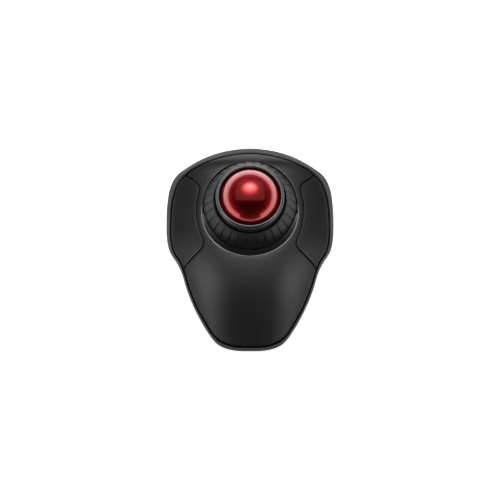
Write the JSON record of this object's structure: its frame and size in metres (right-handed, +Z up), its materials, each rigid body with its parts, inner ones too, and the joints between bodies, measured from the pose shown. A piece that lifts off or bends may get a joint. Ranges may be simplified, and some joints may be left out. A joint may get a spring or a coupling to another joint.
{
  "type": "trackball mouse",
  "caption": "Symmetric palm-rest trackball with a glossy ball in a collar, a ribbed scroll ring round it, a button on each side and a battery door underneath.",
  "frame": {"origin": "on the desk, under the middle of the whole mouse", "axes": "+X to the user's right, +Y away from the user, +Z up"},
  "size_m": [0.116, 0.147, 0.055],
  "materials": {
    "cover_black": "satin black plastic with a fine moulded grain",
    "case_grey": "matte blue-grey plastic with a fine grain",
    "ring_rubber": "ribbed dark rubber, slightly blue",
    "collar_black": "semi-gloss black plastic",
    "trim_grey": "satin light grey trim line",
    "ball_red": "polished deep red resin",
    "inner_plastic": "plain moulded plastic",
    "glide_white": "slippery white plastic",
    "bearing_white": "polished ceramic",
    "steel": "plated steel",
    "board_green": "glass-fibre board with green solder mask",
    "chip_black": "moulded black housing",
    "clear_lens": "clear polished plastic",
    "plunger_red": "red switch plunger",
    "cell_jacket": "plain printed jacket",
    "foot_rubber": "matte black rubber",
    "slider_grey": "mid grey plastic"
  },
  "bodies": {
    "body": {"top_cover": "cover_black", "bottom_case": "case_grey", "receiver_body": "case_grey", "ring_surround": "collar_black", "ball_cup": "collar_black", "trim_crescent": "trim_grey", "left_pivot_bracket": "inner_plastic", "right_pivot_bracket": "inner_plastic", "battery_tray": "inner_plastic", "ring_glide_washer": "glide_white", "support_bearing_1": "bearing_white", "support_bearing_2": "bearing_white", "support_bearing_3": "bearing_white", "left_pivot_pin": "steel", "right_pivot_pin": "steel", "contact_plate_far": "steel", "contact_plate_near": "steel", "contact_spring_far": "steel", "contact_spring_near": "steel", "receiver_plug": "steel", "case_screw_1": "steel", "case_screw_2": "steel", "case_screw_3": "steel", "case_screw_4": "steel", "board_screw_1": "steel", "board_screw_2": "steel", "board_screw_3": "steel", "cup_screw_1": "steel", "cup_screw_2": "steel", "cup_screw_3": "steel", "main_board": "board_green", "ring_encoder_fork": "chip_black", "radio_chip": "chip_black", "optical_sensor": "chip_black", "left_switch": "chip_black", "right_switch": "chip_black", "mode_switch": "chip_black", "pairing_switch": "chip_black", "sensor_lens": "clear_lens", "battery_far": "cell_jacket", "battery_near": "cell_jacket", "foot_far_left": "foot_rubber", "foot_far_right": "foot_rubber", "foot_mid_left": "foot_rubber", "foot_mid_right": "foot_rubber", "foot_near": "foot_rubber"},
    "ball": {"ball": "ball_red"},
    "ring": {"scroll_ring": "ring_rubber", "encoder_ring": "inner_plastic"},
    "left_button": {"left_button": "cover_black"},
    "right_button": {"right_button": "cover_black"},
    "left_plunger": {"left_switch_plunger": "plunger_red"},
    "right_plunger": {"right_switch_plunger": "plunger_red"},
    "mode_slider": {"mode_slider": "slider_grey"},
    "pairing_button": {"pairing_button": "slider_grey"},
    "battery_door": {"battery_door": "case_grey"}
  },
  "joints": [
    {"name": "ball_roll", "type": "hinge", "parent": "body", "child": "ball", "pos_m": [0, 0.0234, 0.035], "axis": [1, 0, 0], "continuous": true},
    {"name": "ring_spin", "type": "hinge", "parent": "body", "child": "ring", "pos_m": [0, 0.0234, 0.024], "axis": [0, 0, 1], "continuous": true},
    {"name": "left_press", "type": "hinge", "parent": "body", "child": "left_button", "pos_m": [-0.0423, -0.0086, 0.012], "axis": [-1, 0, 0], "range_deg": [0, 1.3], "stiffness_Nm_per_rad": 0.6, "springref_deg": -1.15},
    {"name": "right_press", "type": "hinge", "parent": "body", "child": "right_button", "pos_m": [0.0423, -0.0086, 0.012], "axis": [-1, 0, 0], "range_deg": [0, 1.3], "stiffness_Nm_per_rad": 0.6, "springref_deg": -1.15},
    {"name": "left_plunger_slide", "type": "slide", "parent": "body", "child": "left_plunger", "axis": [0, 0, -1], "range_m": [0, 0.0008]},
    {"name": "right_plunger_slide", "type": "slide", "parent": "body", "child": "right_plunger", "axis": [0, 0, -1], "range_m": [0, 0.0008]},
    {"name": "mode_slide", "type": "slide", "parent": "body", "child": "mode_slider", "axis": [1, 0, 0], "range_m": [-0.0022, 0.0022]},
    {"name": "pairing_press", "type": "slide", "parent": "body", "child": "pairing_button", "axis": [0, 0, 1], "range_m": [0, 0.0005], "stiffness_N_per_m": 500, "springref_m": -0.001},
    {"name": "door_open", "type": "hinge", "parent": "body", "child": "battery_door", "pos_m": [0, -0.0114, 0.0019], "axis": [1, 0, 0], "range_deg": [0, 100]}
  ],
  "couplings": [
    {"joint": "left_plunger_slide", "follows": "left_press", "m_per_rad": 0.032},
    {"joint": "right_plunger_slide", "follows": "right_press", "m_per_rad": 0.032}
  ]
}
